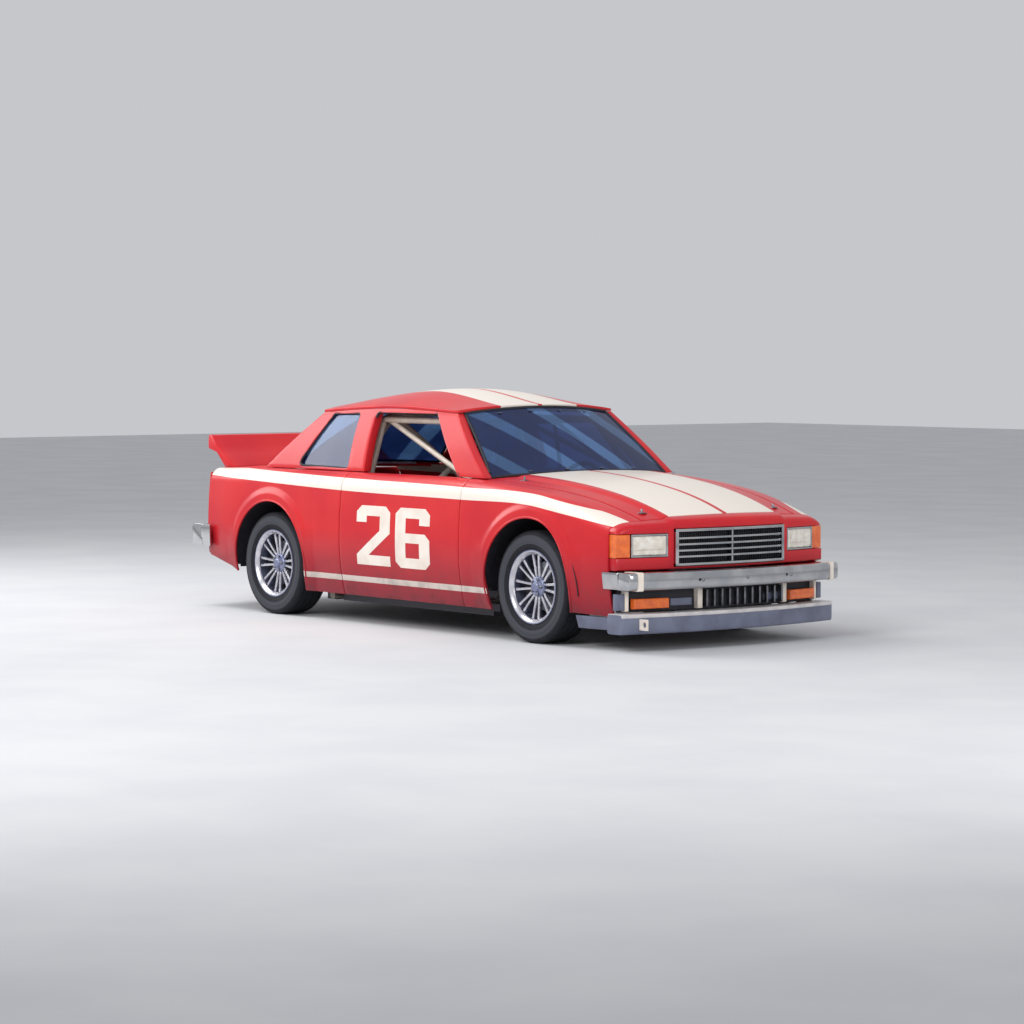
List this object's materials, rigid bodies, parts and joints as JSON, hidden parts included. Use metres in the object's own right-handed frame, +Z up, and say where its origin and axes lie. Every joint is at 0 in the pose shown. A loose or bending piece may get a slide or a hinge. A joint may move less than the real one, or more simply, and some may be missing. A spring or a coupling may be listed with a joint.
{
  "type": "stock car",
  "caption": "Two-door racing coupe on a perimeter frame, with opening doors and lids, steered front wheels, roll cage, chrome bumpers and a deck spoiler.",
  "frame": {"origin": "on the ground, on the centreline, half way between the front and rear bumpers", "axes": "+X forward, +Y to the driver's left, +Z up"},
  "size_m": [4.88, 1.8492, 1.5367],
  "materials": {
    "red_paint": "glossy race red enamel with cream stripes",
    "frame_black": "satin black chassis paint",
    "floor_grey": "satin grey primer",
    "cast_metal": "cast surfaces, lightly oiled",
    "exhaust_steel": "heat-stained steel",
    "chrome_trim": "bright chrome plate",
    "valance_metal": "blue-grey satin metal",
    "black_plastic": "black moulded plastic",
    "glass_tint": "blue tinted glazing",
    "lamp_clear": "clear ribbed lens",
    "lamp_amber": "amber lens",
    "lamp_red": "red lens",
    "cage_cream": "cream enamel on steel tube",
    "seat_black": "black woven upholstery",
    "alloy": "machined and lacquered cast alloy",
    "tyre_rubber": "black rubber"
  },
  "bodies": {
    "root": {"chassis_frame": "frame_black", "floor_pan": "floor_grey", "engine_block": "cast_metal", "driveline": "cast_metal", "rear_axle": "cast_metal", "front_suspension": "frame_black", "rear_suspension": "frame_black", "exhaust": "exhaust_steel", "fuel_cell": "black_plastic", "radiator": "black_plastic", "wheel_tubs": "black_plastic", "quarter_panels": "red_paint", "fenders": "red_paint", "roof": "red_paint", "pillars": "red_paint", "scuttle_panels": "red_paint", "nose_panel": "red_paint", "grille": "chrome_trim", "headlights": "lamp_clear", "signal_lamps": "lamp_amber", "front_bumper": "chrome_trim", "lower_grille": "black_plastic", "front_valance": "valance_metal", "tail_panel": "red_paint", "tail_lights": "lamp_red", "rear_bumper": "chrome_trim", "windows": "glass_tint", "roll_cage": "cage_cream", "seat": "seat_black", "dashboard": "black_plastic"},
    "door_left": {"door_left": "red_paint"},
    "door_right": {"door_right": "red_paint"},
    "hood": {"hood": "red_paint"},
    "trunk_lid": {"trunk_lid": "red_paint", "spoiler": "red_paint"},
    "knuckle_left": {"knuckle_left": "cast_metal"},
    "knuckle_right": {"knuckle_right": "cast_metal"},
    "steering_wheel": {"steering_wheel": "black_plastic"},
    "front_left_wheel": {"front_left_rim": "alloy", "front_left_tyre": "tyre_rubber"},
    "front_right_wheel": {"front_right_rim": "alloy", "front_right_tyre": "tyre_rubber"},
    "rear_left_wheel": {"rear_left_rim": "alloy", "rear_left_tyre": "tyre_rubber"},
    "rear_right_wheel": {"rear_right_rim": "alloy", "rear_right_tyre": "tyre_rubber"}
  },
  "joints": [
    {"name": "steer_right", "type": "hinge", "parent": "root", "child": "knuckle_right", "pos_m": [1.44, -0.7, 0.347], "axis": [0, 0, 1], "range_deg": [-27, 27]},
    {"name": "steer_left", "type": "hinge", "parent": "root", "child": "knuckle_left", "pos_m": [1.44, 0.7, 0.347], "axis": [0, 0, 1], "range_deg": [-27, 27]},
    {"name": "steering_wheel_turn", "type": "hinge", "parent": "root", "child": "steering_wheel", "pos_m": [0.455, 0.385, 0.85], "axis": [-0.9127, 0, 0.4087], "range_deg": [-330, 330]},
    {"name": "front_left_spin", "type": "hinge", "parent": "knuckle_left", "child": "front_left_wheel", "pos_m": [1.44, 0.76, 0.347], "axis": [0, 1, 0], "continuous": true},
    {"name": "front_right_spin", "type": "hinge", "parent": "knuckle_right", "child": "front_right_wheel", "pos_m": [1.44, -0.76, 0.347], "axis": [0, 1, 0], "continuous": true},
    {"name": "rear_left_spin", "type": "hinge", "parent": "root", "child": "rear_left_wheel", "pos_m": [-1.354, 0.76, 0.347], "axis": [0, 1, 0], "continuous": true},
    {"name": "rear_right_spin", "type": "hinge", "parent": "root", "child": "rear_right_wheel", "pos_m": [-1.354, -0.76, 0.347], "axis": [0, 1, 0], "continuous": true},
    {"name": "door_left_hinge", "type": "hinge", "parent": "root", "child": "door_left", "pos_m": [0.757, 0.92, 0.5], "axis": [0, 0, -1], "range_deg": [0, 65]},
    {"name": "door_right_hinge", "type": "hinge", "parent": "root", "child": "door_right", "pos_m": [0.757, -0.92, 0.5], "axis": [0, 0, 1], "range_deg": [0, 65]},
    {"name": "hood_hinge", "type": "hinge", "parent": "root", "child": "hood", "pos_m": [0.951, 0, 1.03], "axis": [0, -1, 0], "range_deg": [0, 50]},
    {"name": "trunk_hinge", "type": "hinge", "parent": "root", "child": "trunk_lid", "pos_m": [-1.668, 0, 1.012], "axis": [0, 1, 0], "range_deg": [0, 60]}
  ],
  "couplings": [
    {"joint": "steer_left", "follows": "steer_right", "ratio": 1},
    {"joint": "steering_wheel_turn", "follows": "steer_right", "ratio": 12}
  ]
}
